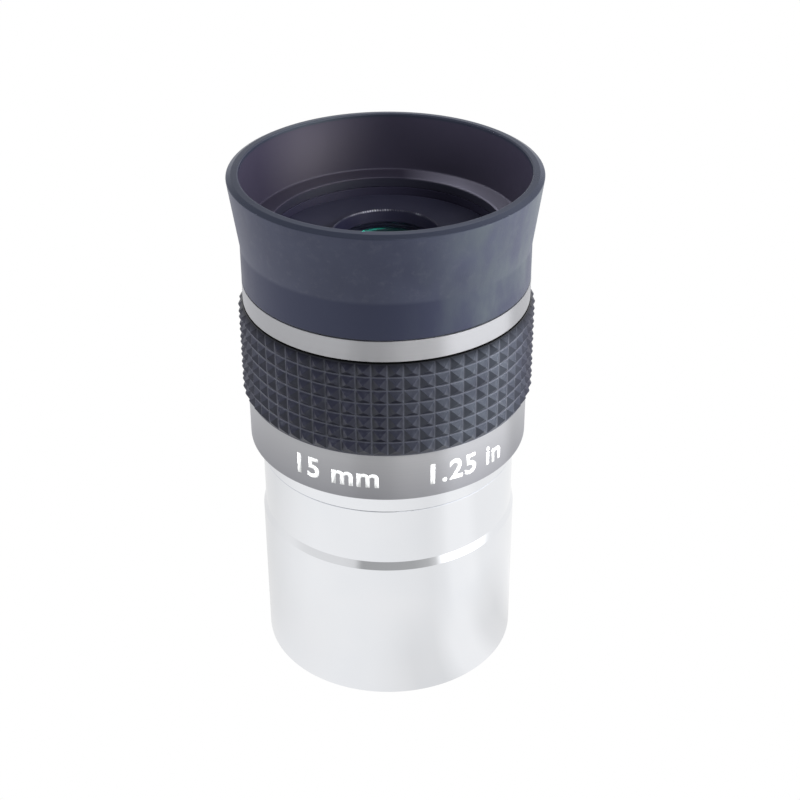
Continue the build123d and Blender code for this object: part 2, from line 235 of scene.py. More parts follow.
# Marking on the lower band: (words, azimuth from the front in degrees), and its sizes
MARKINGS = (("15 mm", -22), ("1.25 in", 33))
MARK_HEIGHT = 2.6
MARK_BASE = 32.0
MARK_LIFT = 0.02
MARK_SINK = 0.03
MARK_WEIGHT = 0.08
MARK_SPACING = 1.08
MARK_CUT = 0.3
CAPITAL_SHARE = 0.70

# Where the looks change, in millimetres
PAINT_RADIUS = 15.0  # chrome pieces are painted black inside this
BLACK_BORE_RADIUS = 15.3  # satin pieces are black inside this
BAND_PAINTED_SHADE = (30.4, 35.6)  # heights between which the painted shade on the lower band fades and the band grows lighter
TURNING_PITCH = 0.16  # spacing of the turning rings on black metal
GRIP_GROOVE_HIGHLIGHT = (0.01, 0.07)  # distances out from the groove where its painted highlight fades
GRIP_SHADE = (1.4, 0.05)  # depths under the grip's top where the shade starts and is full
GRIP_PAINTED_LIGHT = (0, 9, 13, 17)  # start, full, still full and end of the painted light, right of the axis
CUP_PAINTED_LIGHT = (1, 12)  # start and full painted light on the eyecup, right of the axis
CUP_DUST_AND_LIGHT = (2, 9)  # start and full dust and painted light on the eyecup's floor, right of the axis


# ---------------------------------------------------------------- mesh helpers


def new_object(name, mesh, material=None):
    """Link a mesh into the scene."""
    obj = bpy.data.objects.new(name, mesh)
    bpy.context.scene.collection.objects.link(obj)
    if material is not None:
        obj.data.materials.append(material)
    return obj


def round_corner(before, corner, after, rounding, steps=4):
    """Points of a small arc that replaces an outline's corner, with one support point each side."""
    a, c, b = Vector(before), Vector(corner), Vector(after)
    to_a, to_b = a - c, b - c
    half_angle = to_a.angle(to_b) / 2
    if half_angle > radians(86):
        return [tuple(c)]
    cut = min(rounding / tan(half_angle), 0.45 * to_a.length, 0.45 * to_b.length)
    start = c + to_a.normalized() * cut
    end = c + to_b.normalized() * cut
    support = 0.25 * cut
    points = [start + to_a.normalized() * min(support, 0.04 * to_a.length)]
    for step in range(steps + 1):
        share = step / steps
        points.append(start.lerp(c, share).lerp(c.lerp(end, share), share))
    points.append(end + to_b.normalized() * min(support, 0.04 * to_b.length))
    return [tuple(p) for p in points]


def rounded_outline(outline, rounding):
    """Round each corner of a closed outline. A point may carry its own rounding as a third value."""
    points = []
    count = len(outline)
    for i, corner in enumerate(outline):
        own = corner[2] if len(corner) > 2 else rounding
        if own <= 0:
            points.append(tuple(corner[:2]))
            continue
        points += round_corner(outline[i - 1][:2], corner[:2], outline[(i + 1) % count][:2], own)
    return points


def split_long_runs(points, longest):
    """Divide the runs of a closed outline so that none is longer than longest."""
    divided = []
    for i, point in enumerate(points):
        following = points[(i + 1) % len(points)]
        run = hypot(following[0] - point[0], following[1] - point[1])
        parts = max(1, int(run / longest + 0.999))
        for part in range(parts):
            share = part / parts
            divided.append(
                (
                    point[0] + (following[0] - point[0]) * share,
                    point[1] + (following[1] - point[1]) * share,
                )
            )
    return divided


def vertex_at(bm, radius, angle, height):
    """A vertex at a radius and height in millimetres and an angle in radians."""
    return bm.verts.new((radius * cos(angle) * MM, radius * sin(angle) * MM, height * MM))


def ring_at(bm, radius, height, count):
    """A circle of vertices about the optical axis."""
    return [vertex_at(bm, radius, 2 * pi * i / count, height) for i in range(count)]


def join_rings(bm, first, second):
    """Faces between two loops that have the same number of vertices."""
    count = len(first)
    for i in range(count):
        j = (i + 1) % count
        bm.faces.new((first[i], first[j], second[j], second[i]))


def smooth_object(name, bm, material):
    """Make a smooth object from a finished bmesh, with its faces turned outwards."""
    bmesh.ops.recalc_face_normals(bm, faces=bm.faces)
    mesh = bpy.data.meshes.new(name)
    bm.to_mesh(mesh)
    bm.free()
    mesh.shade_smooth()
    return new_object(name, mesh, material)


def lathe(name, points, material, segments=SEGMENTS):
    """Turn a closed outline about the optical axis into a smooth mesh."""
    bm = bmesh.new()
    rings = [ring_at(bm, radius, height, segments) for radius, height in points]
    for k, ring in enumerate(rings):
        join_rings(bm, ring, rings[(k + 1) % len(rings)])
    bmesh.ops.remove_doubles(bm, verts=bm.verts, dist=1e-8)
    bmesh.ops.dissolve_degenerate(bm, edges=bm.edges, dist=1e-8)
    return smooth_object(name, bm, material)


def thread(crest, root, start, pitch, turns):
    """Outline of parallel thread grooves, rising from start."""
    points = []
    for turn in range(turns):
        base = start + turn * pitch
        points.append((crest, base, 0.02))
        points.append((crest, base + 0.25 * pitch, 0.02))
        points.append((root, base + 0.55 * pitch, 0.02))
        points.append((root, base + 0.70 * pitch, 0.02))
    points.append((crest, start + turns * pitch, 0.02))
    points.append((crest, start + (turns + 0.25) * pitch, 0.02))
    return points


def standing_for(obj, body, slot, *nodes):
    """Ride on a body and stand for CAD nodes. The slot argument is not used."""
    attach(obj, body)
    if nodes:
        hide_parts(*nodes)
    return obj


# ---------------------------------------------------------------- material helpers


def new_material(name):
    """A material with its nodes, its links and its shader."""
    material = bpy.data.materials.new(name)
    material.use_nodes = True
    nodes = material.node_tree.nodes
    links = material.node_tree.links
    return material, nodes, links, nodes["Principled BSDF"]


def object_place(nodes):
    """Object coordinates, in metres from the origin of the frame."""
    return nodes.new("ShaderNodeTexCoord").outputs["Object"]


def math_node(nodes, links, operation, first, second=0.0):
    """Result of a sum on sockets or numbers."""
    node = nodes.new("ShaderNodeMath")
    node.operation = operation
    for socket, value in zip(node.inputs, (first, second)):
        if isinstance(value, (int, float)):
            socket.default_value = value
        else:
            links.new(value, socket)
    return node.outputs[0]


def axis_distance(nodes, links, place):
    """Distance from the optical axis, in metres."""
    flat = nodes.new("ShaderNodeVectorMath")
    flat.operation = "MULTIPLY"
    flat.inputs[1].default_value = (1, 1, 0)
    links.new(place, flat.inputs[0])
    length = nodes.new("ShaderNodeVectorMath")
    length.operation = "LENGTH"
    links.new(flat.outputs["Vector"], length.inputs[0])
    return length.outputs["Value"]


def separate(nodes, links, place):
    """The X, Y and Z parts of a position or direction."""
    split = nodes.new("ShaderNodeSeparateXYZ")
    links.new(place, split.inputs["Vector"])
    return split.outputs


def height_above(nodes, links, place):
    """Height above the barrel's open end, in metres."""
    return separate(nodes, links, place)["Z"]


def side_position(nodes, links, place):
    """Distance to the right of the optical axis, in metres."""
    return separate(nodes, links, place)["X"]


def azimuth_of(nodes, links, place):
    """Angle round the optical axis, in radians from +X."""
    parts = separate(nodes, links, place)
    return math_node(nodes, links, "ARCTAN2", parts["Y"], parts["X"])


def noise(nodes, links, place, scale, detail=3.0, roughness=0.5, stretch=(1, 1, 1)):
    """Noise over the object. Scale is in features per metre."""
    mapping = nodes.new("ShaderNodeMapping")
    mapping.inputs["Scale"].default_value = stretch
    links.new(place, mapping.inputs["Vector"])
    texture = nodes.new("ShaderNodeTexNoise")
    texture.inputs["Scale"].default_value = scale
    texture.inputs["Detail"].default_value = detail
    texture.inputs["Roughness"].default_value = roughness
    links.new(mapping.outputs["Vector"], texture.inputs["Vector"])
    return texture.outputs["Fac"]


def ramp(nodes, links, source, stops):
    """Colour ramp. Stops are (position, colour) pairs."""
    node = nodes.new("ShaderNodeValToRGB")
    elements = node.color_ramp.elements
    while len(elements) < len(stops):
        elements.new(0.5)
    for element, (position, colour) in zip(elements, stops):
        element.position = position
        element.color = (*colour, 1)
    links.new(source, node.inputs["Fac"])
    return node.outputs["Color"]


def value_range(nodes, links, source, low, high, to_low, to_high):
    """Map low..high to to_low..to_high, and hold the ends."""
    node = nodes.new("ShaderNodeMapRange")
    for socket, value in zip(("From Min", "From Max", "To Min", "To Max"), (low, high, to_low, to_high)):
        node.inputs[socket].default_value = value
    links.new(source, node.inputs["Value"])
    return node.outputs["Result"]


def window(nodes, links, source, edges, before=0.0, after=0.0):
    """1 between the middle two of four edges, sloping to before and after at the outer two."""
    rise = value_range(nodes, links, source, edges[0], edges[1], before, 1.0)
    fall = value_range(nodes, links, source, edges[2], edges[3], 1.0, after)
    return math_node(nodes, links, "MULTIPLY", rise, fall)


def bump(nodes, links, height, depth, strength):
    """Bump of a given depth in metres."""
    node = nodes.new("ShaderNodeBump")
    node.inputs["Strength"].default_value = strength
    node.inputs["Distance"].default_value = depth
    links.new(height, node.inputs["Height"])
    return node.outputs["Normal"]


def mix_colour(nodes, links, share, first, second):
    """Mix two colours or colour sockets by the share of the second."""
    node = nodes.new("ShaderNodeMix")
    node.data_type = "RGBA"
    links.new(share, node.inputs["Factor"])
    for socket, value in ((node.inputs[6], first), (node.inputs[7], second)):
        if isinstance(value, tuple):
            socket.default_value = (*value, 1)
        else:
            links.new(value, socket)
    return node.outputs[2]


# ---------------------------------------------------------------- materials


def chrome_material():
    """Polished chrome outside, blackened paint inside the bore and on the spigot's threads."""
    material, nodes, links, shader = new_material("polished_chrome")
    place = object_place(nodes)
    distance = axis_distance(nodes, links, place)
    outside = math_node(nodes, links, "GREATER_THAN", distance, PAINT_RADIUS * MM)
    cloud = noise(nodes, links, place, 120, detail=2)
    tone = ramp(nodes, links, cloud, [(0.3, (0.845, 0.86, 0.89)), (0.7, (0.87, 0.88, 0.905))])
    links.new(mix_colour(nodes, links, outside, (0.012, 0.012, 0.014), tone), shader.inputs["Base Color"])
    links.new(outside, shader.inputs["Metallic"])
    polish = value_range(nodes, links, cloud, 0.3, 0.7, 0.07, 0.10)
    dull = math_node(nodes, links, "SUBTRACT", 1.0, outside)
    links.new(
        math_node(nodes, links, "MAXIMUM", polish, math_node(nodes, links, "MULTIPLY", dull, 0.55)),
        shader.inputs["Roughness"],
    )
    wear = noise(nodes, links, place, 900, 3, stretch=(1.0, 1.0, 0.05))
    low = value_range(nodes, links, height_above(nodes, links, place), 0.0, 9.0 * MM, 1.0, 0.0)
    links.new(
        bump(nodes, links, math_node(nodes, links, "MULTIPLY", wear, low), 0.000004, 0.5),
        shader.inputs["Normal"],
    )
    return material


def satin_metal_material():
    """Turned satin metal, black inside: fine grooves round the axis stretch its reflections."""
    material, nodes, links, shader = new_material("turned_satin_metal")
    place = object_place(nodes)
    distance = axis_distance(nodes, links, place)
    height = height_above(nodes, links, place)
    turned = math_node(nodes, links, "GREATER_THAN", distance, BLACK_BORE_RADIUS * MM)
    rings = noise(nodes, links, place, 900, 4, 0.7, stretch=(0.02, 0.02, 9.0))
    upper = ramp(nodes, links, rings, [(0.25, (0.57, 0.57, 0.585)), (0.75, (0.61, 0.61, 0.62))])
    lower = ramp(nodes, links, rings, [(0.25, (0.41, 0.41, 0.435)), (0.75, (0.45, 0.45, 0.47))])
    # Painted shade: the lower band is painted darker towards its bottom
    dark_below, light_above = BAND_PAINTED_SHADE
    rise = value_range(nodes, links, height, dark_below * MM, light_above * MM, 0.0, 1.0)
    tone = mix_colour(nodes, links, rise, lower, upper)
    links.new(mix_colour(nodes, links, turned, (0.015, 0.014, 0.026), tone), shader.inputs["Base Color"])
    links.new(turned, shader.inputs["Metallic"])
    links.new(value_range(nodes, links, turned, 0.0, 1.0, 0.06, 0.5), shader.inputs["Specular IOR Level"])
    shader.inputs["Anisotropic"].default_value = 0.98
    shader.inputs["Anisotropic Rotation"].default_value = 0.25
    links.new(value_range(nodes, links, rings, 0.3, 0.7, 0.37, 0.45), shader.inputs["Roughness"])
    tangent = nodes.new("ShaderNodeTangent")
    tangent.direction_type = "RADIAL"
    tangent.axis = "Z"
    links.new(tangent.outputs["Tangent"], shader.inputs["Tangent"])
    links.new(bump(nodes, links, rings, 0.000003, 0.4), shader.inputs["Normal"])
    return material


def moulded_rubber(name, dark, light, roughness, specks):
    """Rubber with a soft bloom, fine grain, scuffs and dust specks. Its base colour isn't linked yet."""
    material, nodes, links, shader = new_material(name)
    place = object_place(nodes)
    mottle = noise(nodes, links, place, 180, 5, 0.6)
    base = ramp(nodes, links, mottle, [(0.3, dark), (0.7, light)])
    scuffs = value_range(nodes, links, noise(nodes, links, place, 1100, 5, 0.7), 0.52, 0.74, 0.0, 0.4)
    base = mix_colour(nodes, links, scuffs, base, (0.050, 0.053, 0.068))
    cells = nodes.new("ShaderNodeTexVoronoi")
    cells.inputs["Scale"].default_value = 1500
    links.new(place, cells.inputs["Vector"])
    rare = nodes.new("ShaderNodeSeparateColor")
    links.new(cells.outputs["Color"], rare.inputs["Color"])
    near = math_node(nodes, links, "LESS_THAN", cells.outputs["Distance"], 0.14)
    chosen = math_node(nodes, links, "GREATER_THAN", rare.outputs["Red"], 1.0 - specks)
    speck = math_node(nodes, links, "MULTIPLY", near, chosen)
    speck = math_node(nodes, links, "MULTIPLY", speck, 0.35)
    base = mix_colour(nodes, links, speck, base, (0.30, 0.30, 0.32))
    grain = noise(nodes, links, place, 5200, 3, 0.6)
    rough = value_range(nodes, links, mottle, 0.3, 0.7, roughness - 0.04, roughness + 0.05)
    links.new(rough, shader.inputs["Roughness"])
    links.new(bump(nodes, links, grain, 0.000012, 0.5), shader.inputs["Normal"])
    return material, nodes, links, shader, base


def cup_rubber_material():
    """Eyecup rubber: greyer inside, smoother on the lip, with painted shade below the kink, on the lip and
    down in the recess, painted light on one side outside, and dust with painted light on one side of its
    floor.
    """
    material, nodes, links, shader, base = moulded_rubber(
        "cup_rubber", (0.017, 0.019, 0.035), (0.025, 0.028, 0.047), 0.42, 0.02
    )
    place = object_place(nodes)
    height = height_above(nodes, links, place)
    distance = axis_distance(nodes, links, place)
    # Painted shade: the straight part below the kink, under the flare, is painted darker
    flared = value_range(nodes, links, height, (CUP_KINK - 0.2) * MM, (CUP_KINK + 0.2) * MM, 0.0, 1.0)
    outside = mix_colour(nodes, links, flared, (0.016, 0.018, 0.034), base)
    lip = value_range(nodes, links, height, (CUP_RIM_HEIGHT - 0.1) * MM, CUP_RIM_HEIGHT * MM, 0.0, 1.0)
    inside = math_node(nodes, links, "LESS_THAN", distance, (CUP_MOUTH + 0.1) * MM)
    on_floor = value_range(nodes, links, height, CUP_FLOOR * MM, (CUP_FLOOR + 0.1) * MM, 1.0, 0.0)
    on_floor = math_node(nodes, links, "MULTIPLY", on_floor, inside)
    side = side_position(nodes, links, place)
    # Painted light: streaky lighter colour on the right side of the cup's outside
    painted_light = value_range(nodes, links, side, CUP_PAINTED_LIGHT[0] * MM, CUP_PAINTED_LIGHT[1] * MM, 0.0, 1.0)
    streaks = noise(nodes, links, place, 260, 5, 0.6, stretch=(1.0, 1.0, 0.5))
    streaks = value_range(nodes, links, streaks, 0.38, 0.66, 0.1, 1.0)
    painted_light = math_node(nodes, links, "MULTIPLY", painted_light, streaks)
    outside = mix_colour(nodes, links, painted_light, outside, (0.036, 0.044, 0.050))
    # Dust and painted light: the right side of the cup's floor is painted lighter, partly for dust and
    # partly for light that falls there
    dust_and_light_side = value_range(nodes, links, side, CUP_DUST_AND_LIGHT[0] * MM, CUP_DUST_AND_LIGHT[1] * MM, 0.0, 1.0)
    dust = math_node(nodes, links, "MULTIPLY", on_floor, dust_and_light_side)
    # Painted shade on the recess wall below the cup's floor
    recess_shade = value_range(nodes, links, height, (CUP_FLOOR - 0.3) * MM, (CUP_FLOOR - 0.1) * MM, 1.0, 0.0)
    recess_shade = math_node(nodes, links, "MULTIPLY", recess_shade, inside)
    tone = mix_colour(nodes, links, inside, outside, (0.017, 0.015, 0.025))
    tone = mix_colour(nodes, links, dust, tone, (0.145, 0.140, 0.180))
    tone = mix_colour(nodes, links, recess_shade, tone, (0.013, 0.013, 0.021))
    # Painted shade: the top of the lip is painted darker; it is also made smoother below
    tone = mix_colour(nodes, links, lip, tone, (0.012, 0.014, 0.022))
    links.new(tone, shader.inputs["Base Color"])
    tint = mix_colour(nodes, links, inside, (0.74, 0.80, 1.0), (0.84, 0.84, 0.97))
    links.new(tint, shader.inputs["Specular Tint"])
    rough = shader.inputs["Roughness"].links[0].from_socket
    smoother = math_node(nodes, links, "MULTIPLY", lip, -0.12)
    links.new(math_node(nodes, links, "ADD", rough, smoother), shader.inputs["Roughness"])
    links.new(value_range(nodes, links, flared, 0.0, 1.0, 0.42, 0.52), shader.inputs["Specular IOR Level"])
    return material


def grip_rubber_material():
    """Grip rubber: painted highlights in its grooves, painted light on one side, and painted shade at the
    edge under the ring.
    """
    material, nodes, links, shader, base = moulded_rubber(
        "grip_rubber", (0.005, 0.005, 0.011), (0.010, 0.010, 0.019), 0.33, 0.006
    )
    shader.inputs["Specular Tint"].default_value = (0.86, 0.92, 1.0, 1)
    place = object_place(nodes)
    distance = axis_distance(nodes, links, place)
    height = height_above(nodes, links, place)
    # Painted highlight: a lighter line along the bottom of each groove
    highlight_from, highlight_to = ((GRIP_VALLEY + depth) * MM for depth in GRIP_GROOVE_HIGHLIGHT)
    groove = value_range(nodes, links, distance, highlight_from, highlight_to, 0.3, 0.0)
    # Painted light: a lighter, mottled tone on the right side of the grip
    mottle = window(nodes, links, side_position(nodes, links, place), [edge * MM for edge in GRIP_PAINTED_LIGHT])
    mottle = math_node(nodes, links, "MULTIPLY", mottle, noise(nodes, links, place, 400, 4))
    base = mix_colour(nodes, links, mottle, base, (0.044, 0.051, 0.062))
    groove_highlighted = mix_colour(nodes, links, groove, base, (0.11, 0.115, 0.14))
    shade_from, shade_to = ((GRIP_TOP - depth) * MM for depth in GRIP_SHADE)
    shade = value_range(nodes, links, height, shade_from, shade_to, 0.0, 1.0)
    shade = math_node(nodes, links, "POWER", shade, 2.0)
    links.new(mix_colour(nodes, links, shade, groove_highlighted, (0.001, 0.001, 0.001)), shader.inputs["Base Color"])
    links.new(value_range(nodes, links, shade, 0.0, 1.0, 0.42, 0.05), shader.inputs["Specular IOR Level"])
    return material


def black_metal_material():
    """Black anodised metal with faint turning rings."""
    material, nodes, links, shader = new_material("black_anodised")
    place = object_place(nodes)
    distance = axis_distance(nodes, links, place)
    turns = math_node(nodes, links, "MULTIPLY", distance, 2 * pi / (TURNING_PITCH * MM))
    rings = math_node(nodes, links, "SINE", turns)
    cloud = noise(nodes, links, place, 700, 4)
    links.new(
        ramp(nodes, links, cloud, [(0.3, (0.015, 0.015, 0.028)), (0.7, (0.020, 0.020, 0.035))]),
        shader.inputs["Base Color"],
    )
    links.new(value_range(nodes, links, cloud, 0.3, 0.7, 0.42, 0.50), shader.inputs["Roughness"])
    links.new(bump(nodes, links, rings, 0.000003, 0.4), shader.inputs["Normal"])
    shader.inputs["Specular IOR Level"].default_value = 0.3
    return material


def bezel_material():
    """Black bezel with a finely notched mouth, painted as bright metal on one side for a painted glint."""
    material, nodes, links, shader = new_material("bezel_painted_glint")
    place = object_place(nodes)
    distance = axis_distance(nodes, links, place)
    angle = azimuth_of(nodes, links, place)
    # Painted glint: bright metal colour only on the arcs where glints show
    arc = window(nodes, links, angle, [radians(edge) for edge in GLINT_ARC])
    brightest = window(nodes, links, angle, [radians(edge) for edge in BRIGHTEST_GLINT_ARC], 0.35, 0.45)
    side = math_node(nodes, links, "MULTIPLY", arc, brightest)
    small_glint = window(nodes, links, angle, [radians(edge) for edge in SMALL_GLINT_ARC])
    side = math_node(nodes, links, "ADD", side, math_node(nodes, links, "MULTIPLY", small_glint, 0.3))
    notches = math_node(nodes, links, "SINE", math_node(nodes, links, "MULTIPLY", angle, BEZEL_NOTCHES))
    patches = value_range(nodes, links, noise(nodes, links, place, 900, 2), 0.42, 0.58, 0.45, 1.0)
    crests = value_range(nodes, links, notches, 0.0, 0.6, 0.08, 1.0)
    patches = math_node(nodes, links, "MULTIPLY", patches, crests)
    faint = math_node(nodes, links, "MAXIMUM", side, 0.06)
    ring = window(nodes, links, distance, [edge * MM for edge in GLINT_RADII])
    glint_metal = math_node(nodes, links, "MULTIPLY", ring, patches)
    glint_metal = math_node(nodes, links, "MULTIPLY", glint_metal, faint)
    tone = mix_colour(nodes, links, glint_metal, (0.009, 0.009, 0.019), (0.88, 0.88, 1.0))
    links.new(tone, shader.inputs["Base Color"])
    links.new(glint_metal, shader.inputs["Metallic"])
    shader.inputs["Roughness"].default_value = 0.30
    shader.inputs["Specular IOR Level"].default_value = 0.1
    past_mouth = value_range(nodes, links, distance, GLINT_RADII[0] * MM, GLINT_RADII[1] * MM, 0.0, 1.0)
    notches = math_node(nodes, links, "MULTIPLY", notches, past_mouth)
    links.new(bump(nodes, links, notches, 0.00004, 0.8), shader.inputs["Normal"])
    return material


def lens_material(name, tint):
    """Glass with an anti-reflection coating whose leftover reflection is coloured."""
    material, nodes, links, shader = new_material(name)
    place = object_place(nodes)
    cloud = noise(nodes, links, place, 500, 3)
    shade = ramp(nodes, links, cloud, [(0.3, (0.42, 0.56, 0.52)), (0.7, (0.46, 0.60, 0.56))])
    links.new(shade, shader.inputs["Base Color"])
    shader.inputs["Roughness"].default_value = 0.07
    shader.inputs["Transmission Weight"].default_value = 1.0
    shader.inputs["IOR"].default_value = 1.9
    shader.inputs["Specular Tint"].default_value = (*tint, 1)
    shader.inputs["Specular IOR Level"].default_value = 0.5
    return material


def lens_edge_material():
    """Matt paint on the ground edges of the lens elements."""
    material, nodes, links, shader = new_material("lens_edge_paint")
    cloud = noise(nodes, links, object_place(nodes), 700, 3)
    links.new(
        ramp(nodes, links, cloud, [(0.3, (0.060, 0.054, 0.110)), (0.7, (0.075, 0.067, 0.130))]),
        shader.inputs["Base Color"],
    )
    shader.inputs["Roughness"].default_value = 0.8
    return material


def cement_material():
    """The clear cemented face between two elements of a doublet."""
    material = bpy.data.materials.new("lens_cement")
    material.use_nodes = True
    nodes = material.node_tree.nodes
    nodes.remove(nodes["Principled BSDF"])
    clear = nodes.new("ShaderNodeBsdfTransparent")
    material.node_tree.links.new(clear.outputs["BSDF"], nodes["Material Output"].inputs["Surface"])
    return material


def marking_material():
    """White paint fill with slight unevenness."""
    material, nodes, links, shader = new_material("marking_paint")
    place = object_place(nodes)
    cloud = noise(nodes, links, place, 1500, 4)
    links.new(
        ramp(nodes, links, cloud, [(0.3, (0.74, 0.75, 0.74)), (0.7, (0.82, 0.83, 0.82))]),
        shader.inputs["Base Color"],
    )
    shader.inputs["Roughness"].default_value = 0.45
    links.new(bump(nodes, links, cloud, 0.00001, 0.4), shader.inputs["Normal"])
    return material


# ---------------------------------------------------------------- pieces


def make_barrel(chrome):
    """Nosepiece barrel with its filter thread and safety undercut."""
    outline = (
        [(FILTER_LEAD, 0)]
        + thread(FILTER_CREST, FILTER_ROOT, FILTER_START, FILTER_PITCH, FILTER_TURNS)
        + [
            (BARREL_BORE, FILTER_START + (FILTER_TURNS + 0.25) * FILTER_PITCH),
            (BARREL_BORE, SPIGOT_BOTTOM - SPIGOT_CLEARANCE),
            (BARREL_SOCKET, SPIGOT_BOTTOM - SPIGOT_CLEARANCE),
            (BARREL_SOCKET, BARREL_TOP),
            (UNDERCUT_RADIUS, BARREL_TOP, 0.05),
            (UNDERCUT_RADIUS, TAPER_END, TAPER_EDGE),
            (BARREL_RADIUS, TAPER_START, TAPER_EDGE),
            (BARREL_RADIUS, 0, BARREL_EDGE),
        ]
    )
    barrel = lathe("chrome_barrel", rounded_outline(outline, 0.06), chrome)
    return standing_for(barrel, "barrel", "chrome", "nosepiece_barrel")


def make_collar(chrome):
    """Collar with a shallow seam above the barrel and a threaded spigot inside it."""
    grooves = thread(SPIGOT_RADIUS, SPIGOT_ROOT, SPIGOT_BOTTOM + SPIGOT_LEAD, SPIGOT_PITCH, SPIGOT_TURNS)
    outline = [
        (COLLAR_BORE, SPIGOT_BOTTOM),
        (COLLAR_BORE, SPIGOT_TOP),
        (SPIGOT_RADIUS, SPIGOT_TOP),
        (SPIGOT_RADIUS, COLLAR_TOP),
        (COLLAR_RADIUS, COLLAR_TOP, 0.08),
        (COLLAR_RADIUS, COLLAR_BOTTOM, 0.03),
        (COLLAR_RADIUS - SEAM_DEPTH, COLLAR_BOTTOM),
        (COLLAR_RADIUS - SEAM_DEPTH, SEAM_FLOOR),
        (SPIGOT_ROOT, SEAM_FLOOR),
    ]
    outline += grooves[::-1] + [(SPIGOT_ROOT, SPIGOT_BOTTOM)]
    collar = lathe("chrome_collar", rounded_outline(outline, 0.05), chrome)
    return standing_for(collar, "collar", "chrome", "barrel_collar")


def make_body(metal):
    """Body shell: lower band, seats for the grip and the ring, neck for the eyecup."""
    outline = [
        (BODY_THREAD_RADIUS, BODY_BOTTOM),
        (BODY_THREAD_RADIUS, BODY_THREAD_TOP),
        (BODY_BORE, BODY_THREAD_TOP),
        (BODY_BORE, CELL_SEAT_BOTTOM),
        (CELL_SEAT_RADIUS, CELL_SEAT_BOTTOM),
        (CELL_SEAT_RADIUS, CELL_SEAT_TOP),
        (EYE_BORE, CELL_SEAT_TOP),
        (EYE_BORE, BODY_TOP),
        (NECK_RADIUS, BODY_TOP),
        (NECK_RADIUS, RING_SEAT_TOP),
        (RING_SEAT_RADIUS, RING_SEAT_TOP),
        (RING_SEAT_RADIUS, GRIP_SEAT_TOP),
        (GRIP_SEAT_RADIUS, GRIP_SEAT_TOP),
        (GRIP_SEAT_RADIUS, LOWER_BAND_TOP),
        (LOWER_BAND_RADIUS, LOWER_BAND_TOP, 0.1),
        (LOWER_BAND_RADIUS, BODY_BOTTOM, 0.14),
    ]
    body = lathe("satin_body", rounded_outline(outline, 0.06), metal)
    return standing_for(body, "housing", "satin_metal", "body_shell")


def make_upper_ring(metal):
    """Satin ring between the grip and the eyecup."""
    inner = RING_SEAT_RADIUS + RING_FIT
    outline = [
        (inner, UPPER_RING_BOTTOM),
        (inner, UPPER_RING_TOP),
        (UPPER_RING_RADIUS, UPPER_RING_TOP, 0.04),
        (UPPER_RING_RADIUS, UPPER_RING_BOTTOM, 0.06),
    ]
    ring = lathe("satin_ring", rounded_outline(outline, 0.05), metal)
    return standing_for(ring, "housing", "satin_metal", "upper_ring")


def make_eyecup(rubber):
    """One moulded cup, in one piece. Its skirt blends from the housing to the rim."""
    outline = [
        (CUP_NECK, CUP_BOTTOM, 0.05),
        (CUP_NECK, CUP_FLANGE_BOTTOM, 0.05),
        (CUP_FLOOR_INNER, CUP_FLANGE_BOTTOM, 0.1),
        (CUP_FLOOR_INNER, CUP_FLOOR, 0.15),
        (CUP_FLOOR_OUTER, CUP_FLOOR, 0.25),
        (CUP_MOUTH, CUP_TOP, 0.2),
        (CUP_CREST, CUP_CREST_HEIGHT, 0.25),
        (CUP_RIM_RADIUS, CUP_RIM_HEIGHT, 0.12),
        (CUP_RADIUS, CUP_KINK, 0.35),
        (CUP_RADIUS, CUP_BOTTOM, 0.22),
    ]
    points = split_long_runs(rounded_outline(outline, 0.05), CUP_MESH_STEP)
    cup = lathe("rubber_eyecup", points, rubber)
    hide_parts("eyecup_base", "eyecup_skirt", "eyecup_rim")
    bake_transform(cup)
    return cup


def add_pyramid(bm, column, row):
    """One cell of the grip: nested squares that rise from the groove to a blunt tip."""
    row_height = (GRIP_TOP - GRIP_BOTTOM - 2 * GRIP_BORDER) / GRIP_ROWS
    levels = [(1.0, 0.0), (0.955, 0.0), (0.11, 0.93), (0.05, 0.985)]
    square = [(-1, -1), (0, -1), (1, -1), (1, 0), (1, 1), (0, 1), (-1, 1), (-1, 0)]
    rings = []
    for half_width, rise in levels:
        ring = []
        for u, v in square:
            angle = (column + 0.5 + u * half_width / 2) * 2 * pi / GRIP_COLUMNS
            radius = GRIP_VALLEY + rise * (GRIP_TIP - GRIP_VALLEY)
            height = GRIP_BOTTOM + GRIP_BORDER + (row + 0.5 + v * half_width / 2) * row_height
            ring.append(vertex_at(bm, radius, angle, height))
        rings.append(ring)
    for lower, upper in zip(rings, rings[1:]):
        join_rings(bm, lower, upper)
    bm.faces.new(rings[-1])


def make_grip(rubber):
    """Sleeve of small pyramids with a plain border above and below."""
    bm = bmesh.new()
    for column in range(GRIP_COLUMNS):
        for row in range(GRIP_ROWS):
            add_pyramid(bm, column, row)
    border = [
        (GRIP_VALLEY, GRIP_BOTTOM + GRIP_BORDER),
        (GRIP_VALLEY, GRIP_BOTTOM + GRIP_EDGE),
        (GRIP_VALLEY - GRIP_EDGE, GRIP_BOTTOM),
        (GRIP_INNER, GRIP_BOTTOM),
        (GRIP_INNER, GRIP_TOP),
        (GRIP_VALLEY - GRIP_EDGE, GRIP_TOP),
        (GRIP_VALLEY, GRIP_TOP - GRIP_EDGE),
        (GRIP_VALLEY, GRIP_TOP - GRIP_BORDER),
    ]
    rings = [ring_at(bm, radius, height, 2 * GRIP_COLUMNS) for radius, height in border]
    for lower, upper in zip(rings, rings[1:]):
        join_rings(bm, lower, upper)
    bmesh.ops.remove_doubles(bm, verts=bm.verts, dist=1e-7)
    grip = smooth_object("rubber_grip", bm, rubber)
    bevel = grip.modifiers.new("soft_edges", "BEVEL")
    bevel.width = GRIP_SOFTENING * MM
    bevel.segments = 2
    bevel.limit_method = "ANGLE"
    bevel.angle_limit = radians(20)
    bevel.harden_normals = True
    return standing_for(grip, "housing", "grip_rubber", "grip_sleeve")


